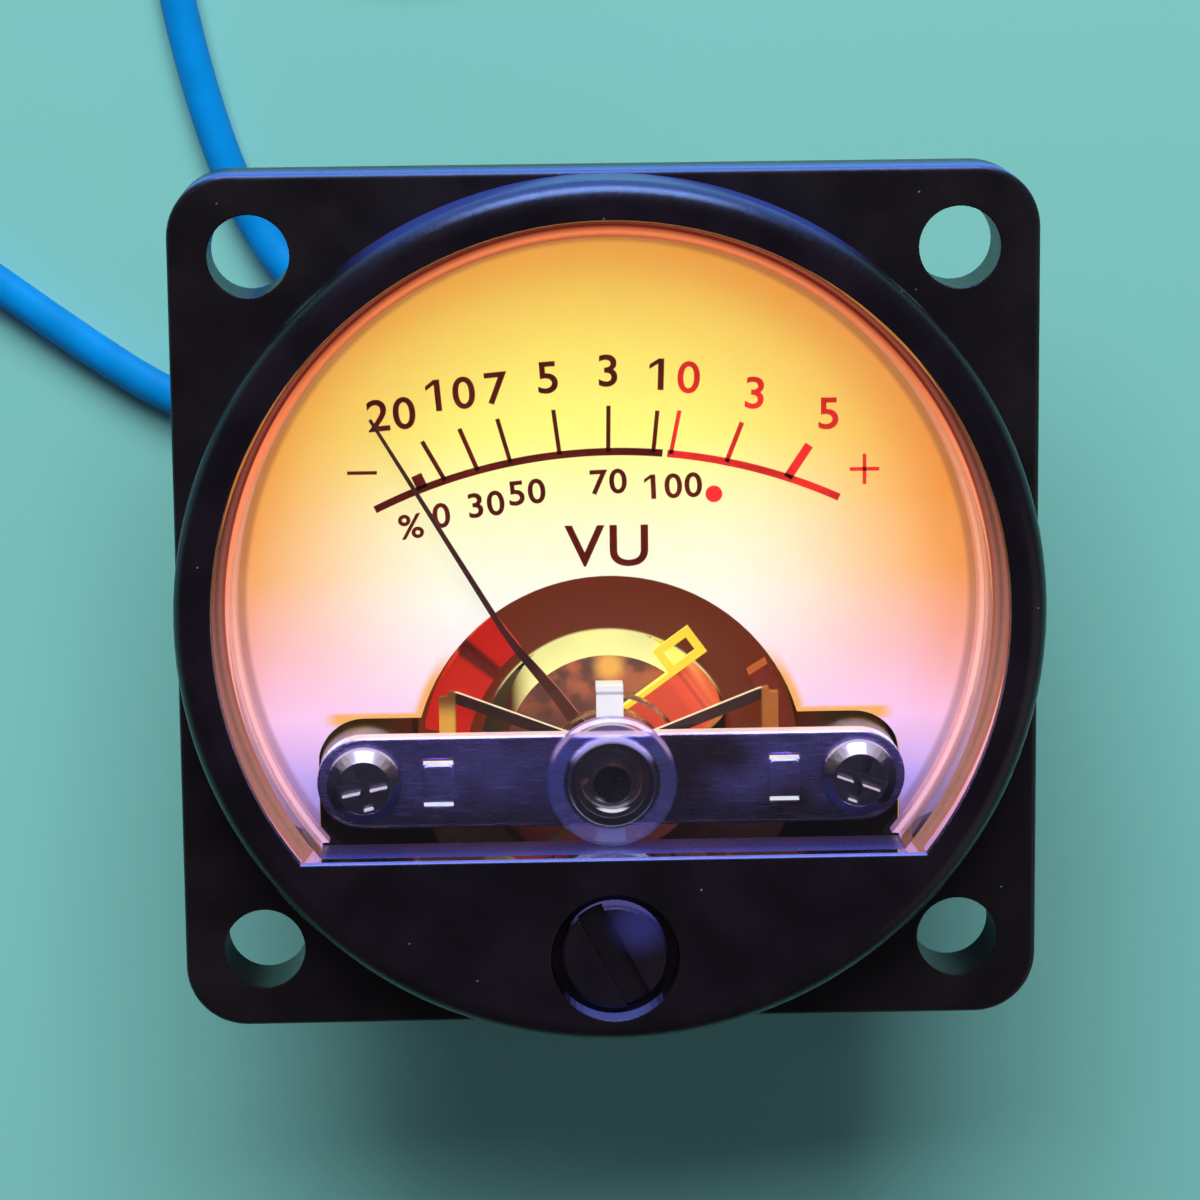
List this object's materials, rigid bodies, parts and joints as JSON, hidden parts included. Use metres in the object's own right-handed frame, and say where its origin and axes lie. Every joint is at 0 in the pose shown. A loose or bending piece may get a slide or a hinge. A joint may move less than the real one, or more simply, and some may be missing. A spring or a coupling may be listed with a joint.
{
  "type": "analog vu meter",
  "caption": "Small round panel meter with a square mounting flange, lit dial, moving-coil movement, zero screw and two lamp leads.",
  "frame": {"origin": "centre of the case at the level of the tips of the solder tags", "axes": "+Z the way the dial faces, +Y towards twelve o'clock on the dial, +X to the right as the dial is read"},
  "size_m": [0.0663, 0.0634, 0.0262],
  "materials": {
    "case_plastic": "fine moulded black",
    "bezel_plastic": "polished black",
    "window": "clear polished plastic",
    "amber_ring": "translucent, lit",
    "dial_print": "translucent white with a printed scale",
    "amber_film": "coloured film",
    "bridge_metal": "plated strip",
    "screw_steel": "nickel plated",
    "clear_plastic": "clear moulded plastic",
    "jewel_brass": "turned",
    "strap_metal": "bent strip",
    "red_plastic": "translucent red",
    "screw_plastic": "moulded black",
    "lever_metal": "stamped",
    "spring_bronze": "rolled strip",
    "magnet": "ground",
    "soft_iron": "plated",
    "bridge_brass": "stamped",
    "frame_alloy": "die cast",
    "former_metal": "formed strip",
    "copper_wire": "enamelled fine wire",
    "pivot_steel": "turned",
    "pointer_paint": "black",
    "lamp_rubber": "moulded grommet",
    "lamp_glass": "clear",
    "lamp_wire": "wire",
    "tag_tin": "tinned",
    "solder": "tinned",
    "lead_blue": "extruded insulation",
    "tie_plastic": "thin band"
  },
  "bodies": {
    "case": {"rear_case": "case_plastic", "front_bezel": "bezel_plastic", "window_lens": "window", "light_ring": "amber_ring", "dial_plate": "dial_print", "dial_filter": "amber_film", "front_bridge": "bridge_metal", "bridge_screws": "screw_steel", "front_bearing_holder": "clear_plastic", "front_jewel_screw": "jewel_brass", "front_strap": "strap_metal", "yoke_retainers": "red_plastic", "core_magnet": "magnet", "yoke_ring": "soft_iron", "core_bridge": "bridge_brass", "movement_frame": "frame_alloy", "rear_jewel_screw": "jewel_brass", "rear_spring_anchor": "bridge_brass", "rear_hairspring": "spring_bronze", "chassis_screws": "screw_steel", "lamp_holder": "lamp_rubber", "lamp_bulb": "lamp_glass", "lamp_filament": "lamp_wire", "signal_tags": "tag_tin", "lamp_tags": "tag_tin", "lamp_solder": "solder", "lamp_lead_a": "lead_blue", "lamp_lead_a_coil": "lead_blue", "lamp_lead_a_end": "solder", "lamp_lead_b": "lead_blue", "lamp_lead_b_coil": "lead_blue", "lamp_lead_b_end": "solder", "coil_ties": "tie_plastic"},
    "zero_adjuster": {"zero_adjust_screw": "screw_plastic"},
    "zero_arm": {"zero_lever": "lever_metal", "front_hairspring": "spring_bronze"},
    "pointer_assembly": {"coil_former": "former_metal", "coil_winding": "copper_wire", "front_pivot": "pivot_steel", "rear_pivot": "pivot_steel", "pointer": "pointer_paint", "balance_weights": "jewel_brass"}
  },
  "joints": [
    {"name": "zero_screw_turn", "type": "hinge", "parent": "case", "child": "zero_adjuster", "pos_m": [0, -0.0138, 0.0245], "axis": [0, 0, 1], "range_deg": [-45, 45]},
    {"name": "zero_arm_swing", "type": "hinge", "parent": "case", "child": "zero_arm", "pos_m": [0, -0.00695, 0.022], "axis": [0, 0, 1], "range_deg": [-5.1, 5.1]},
    {"name": "pointer_swing", "type": "hinge", "parent": "zero_arm", "child": "pointer_assembly", "pos_m": [0, -0.00695, 0.0205], "axis": [0, 0, -1], "range_deg": [0, 68], "stiffness_Nm_per_rad": 0.000002, "deforming": ["front_hairspring", "rear_hairspring"]}
  ],
  "couplings": [
    {"joint": "zero_arm_swing", "follows": "zero_screw_turn", "ratio": -0.1125}
  ]
}
